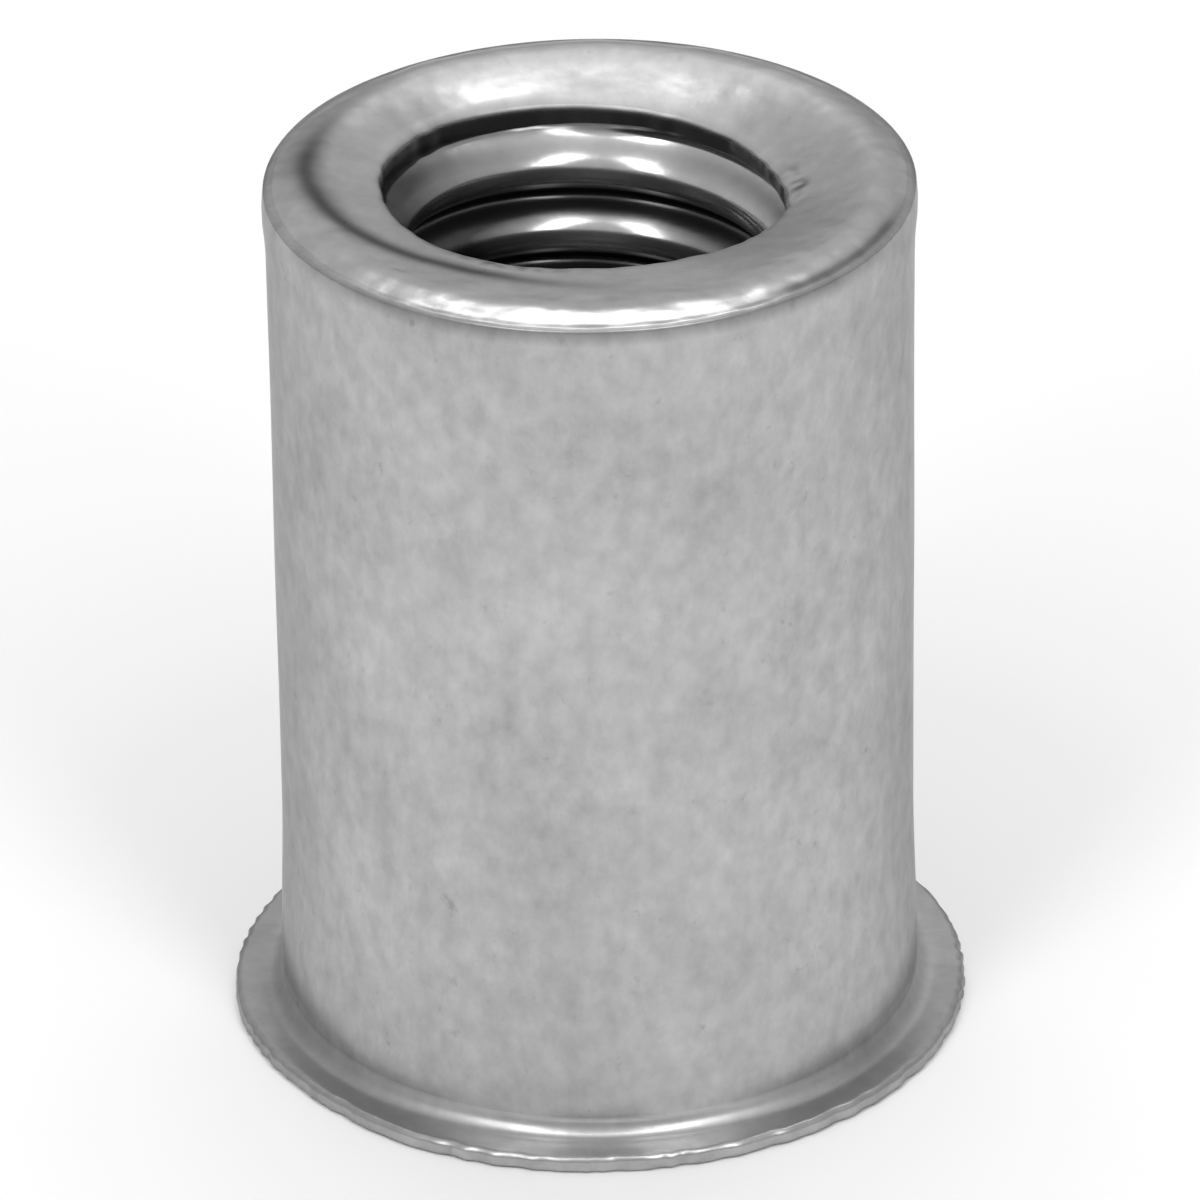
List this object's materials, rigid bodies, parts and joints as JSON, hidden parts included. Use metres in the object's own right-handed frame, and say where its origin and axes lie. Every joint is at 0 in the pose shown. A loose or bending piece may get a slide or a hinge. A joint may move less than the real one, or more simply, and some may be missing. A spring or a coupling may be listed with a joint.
{
  "type": "rivet nut",
  "caption": "Cylindrical one-piece blind rivet nut with a thin flange at one end, a rounded open threaded end, an internal thread and a smooth counterbore.",
  "frame": {"origin": "centre of the flange's flat end face, on the axis, where the nut stands", "axes": "+Z along the axis, from the flange to the threaded end; X and Y are square to it"},
  "size_m": [0.0104, 0.0104, 0.0129],
  "materials": {
    "plated_steel": "matte zinc plating, mottled and slightly grainy, brighter on the rounded end and in the thread"
  },
  "bodies": {
    "root": {"rivet_nut": "plated_steel"}
  },
  "joints": []
}
